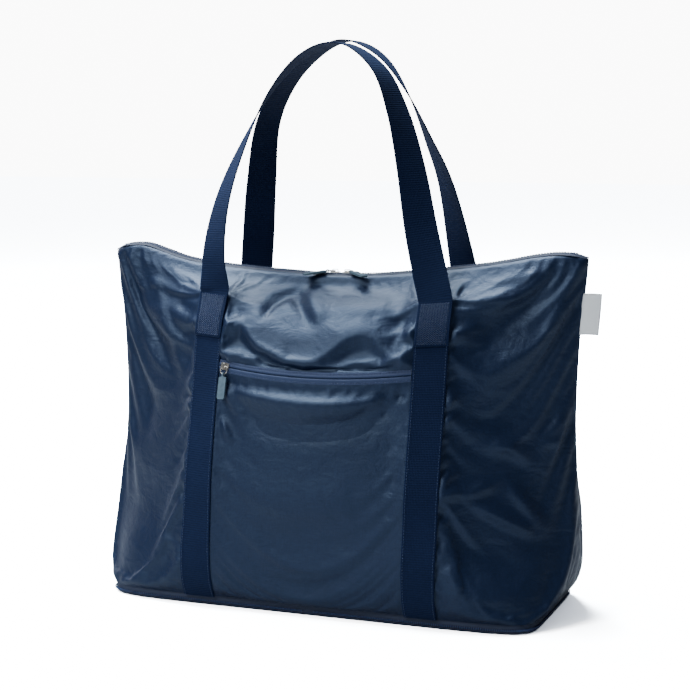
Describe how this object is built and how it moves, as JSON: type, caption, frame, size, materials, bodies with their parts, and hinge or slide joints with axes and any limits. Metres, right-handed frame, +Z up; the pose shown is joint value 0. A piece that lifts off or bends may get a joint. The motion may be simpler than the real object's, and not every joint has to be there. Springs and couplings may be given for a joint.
{
  "type": "foldable tote bag",
  "caption": "Large light nylon tote that folds into its own base, with a two-way top zip, a zipped front pocket and webbing handles.",
  "frame": {"origin": "middle of the base's underside, on the surface that the bag stands on", "axes": "+X to the bag's right seen from the front, along its width; the front faces -Y; +Z up"},
  "size_m": [0.5932, 0.2464, 0.6426],
  "materials": {
    "navy_nylon": "glossy coated nylon, dark navy",
    "navy_lining": "matt lining, dark navy",
    "navy_webbing": "matt woven webbing, navy",
    "navy_thread": "dense zigzag stitching, navy",
    "zip_tape": "matt woven zip tape, blue",
    "zip_coil": "nylon coil, dark blue",
    "nickel": "polished nickel plate",
    "tab_rubber": "soft rubber, grey-teal",
    "label_fabric": "woven label, off-white, blank"
  },
  "bodies": {
    "bag": {"front_panel": "navy_nylon", "rear_panel": "navy_nylon", "left_side_binding": "zip_tape", "right_side_binding": "zip_tape", "base_panel": "navy_nylon", "base_lining": "navy_lining", "base_zip_tape": "zip_tape", "base_zip_left_coil": "zip_coil", "base_zip_right_coil": "zip_coil", "base_slider": "nickel", "top_zip_front_tape": "zip_tape", "top_zip_rear_tape": "zip_tape", "top_zip_front_coil": "zip_coil", "top_zip_rear_coil": "zip_coil", "pocket_panel": "navy_nylon", "pocket_zip_upper_tape": "zip_tape", "pocket_zip_lower_tape": "zip_tape", "pocket_zip_upper_coil": "zip_coil", "pocket_zip_lower_coil": "zip_coil", "front_left_strap": "navy_webbing", "front_right_strap": "navy_webbing", "rear_left_strap": "navy_webbing", "rear_right_strap": "navy_webbing", "front_left_stitch_patch": "navy_thread", "front_right_stitch_patch": "navy_thread", "rear_left_stitch_patch": "navy_thread", "rear_right_stitch_patch": "navy_thread", "side_label": "label_fabric"},
    "front_handle_loop": {"front_handle": "navy_webbing"},
    "rear_handle_loop": {"rear_handle": "navy_webbing"},
    "top_left_zip_slider": {"top_left_slider": "nickel"},
    "top_left_link": {"top_left_pull_link": "nickel"},
    "top_left_tab": {"top_left_pull_tab": "tab_rubber"},
    "top_right_zip_slider": {"top_right_slider": "nickel"},
    "top_right_link": {"top_right_pull_link": "nickel"},
    "top_right_tab": {"top_right_pull_tab": "tab_rubber"},
    "pocket_zip_slider": {"pocket_slider": "nickel"},
    "pocket_link": {"pocket_pull_link": "nickel"},
    "pocket_tab": {"pocket_pull_tab": "tab_rubber"},
    "base_link": {"base_pull_link": "nickel"},
    "base_tab": {"base_pull_tab": "tab_rubber"}
  },
  "joints": [
    {"name": "front_handle_fold", "type": "hinge", "parent": "bag", "child": "front_handle_loop", "pos_m": [0, -0.06602, 0.36077], "axis": [1, 0, 0], "range_deg": [0, 150]},
    {"name": "rear_handle_fold", "type": "hinge", "parent": "bag", "child": "rear_handle_loop", "pos_m": [0, 0.06602, 0.36077], "axis": [-1, 0, 0], "range_deg": [0, 150]},
    {"name": "top_left_slider_travel", "type": "hinge", "parent": "bag", "child": "top_left_zip_slider", "pos_m": [0, 0, 1.3765], "axis": [0, 1, 0], "range_deg": [0, 12.9]},
    {"name": "top_left_link_tilt", "type": "hinge", "parent": "top_left_zip_slider", "child": "top_left_link", "pos_m": [-0.00748, 0, 0.37953], "axis": [-0.6196, 0.7849, 0.0047], "range_deg": [0, 110]},
    {"name": "top_left_tab_tilt", "type": "hinge", "parent": "top_left_link", "child": "top_left_tab", "pos_m": [-0.0147, -0.0057, 0.37953], "axis": [-0.6196, 0.7849, 0.0047], "range_deg": [0, 60]},
    {"name": "top_right_slider_travel", "type": "hinge", "parent": "bag", "child": "top_right_zip_slider", "pos_m": [0, 0, 1.3765], "axis": [0, -1, 0], "range_deg": [0, 12.9]},
    {"name": "top_right_link_tilt", "type": "hinge", "parent": "top_right_zip_slider", "child": "top_right_link", "pos_m": [0.00748, 0, 0.37953], "axis": [-0.6196, -0.7849, -0.0047], "range_deg": [0, 110]},
    {"name": "top_right_tab_tilt", "type": "hinge", "parent": "top_right_link", "child": "top_right_tab", "pos_m": [0.0147, -0.0057, 0.37953], "axis": [-0.6196, -0.7849, -0.0047], "range_deg": [0, 60]},
    {"name": "pocket_slider_travel", "type": "hinge", "parent": "bag", "child": "pocket_zip_slider", "pos_m": [0, 0.2625, 0.42591], "axis": [0, -0.3954, 0.9185], "range_deg": [0, 30.5]},
    {"name": "pocket_link_tilt", "type": "hinge", "parent": "pocket_zip_slider", "child": "pocket_link", "pos_m": [-0.10714, -0.09202, 0.27529], "axis": [-0.9769, 0.2055, -0.0578], "range_deg": [0, 60]},
    {"name": "pocket_tab_tilt", "type": "hinge", "parent": "pocket_link", "child": "pocket_tab", "pos_m": [-0.10714, -0.09451, 0.26643], "axis": [-0.9769, 0.2055, -0.0578], "range_deg": [0, 30]},
    {"name": "base_link_tilt", "type": "hinge", "parent": "bag", "child": "base_link", "pos_m": [0, 0.1106, 0.0056], "axis": [0, 0, 1], "range_deg": [0, 110]},
    {"name": "base_tab_tilt", "type": "hinge", "parent": "base_link", "child": "base_tab", "pos_m": [0.0092, 0.1106, 0.0056], "axis": [0, 0, 1], "range_deg": [0, 60]}
  ]
}
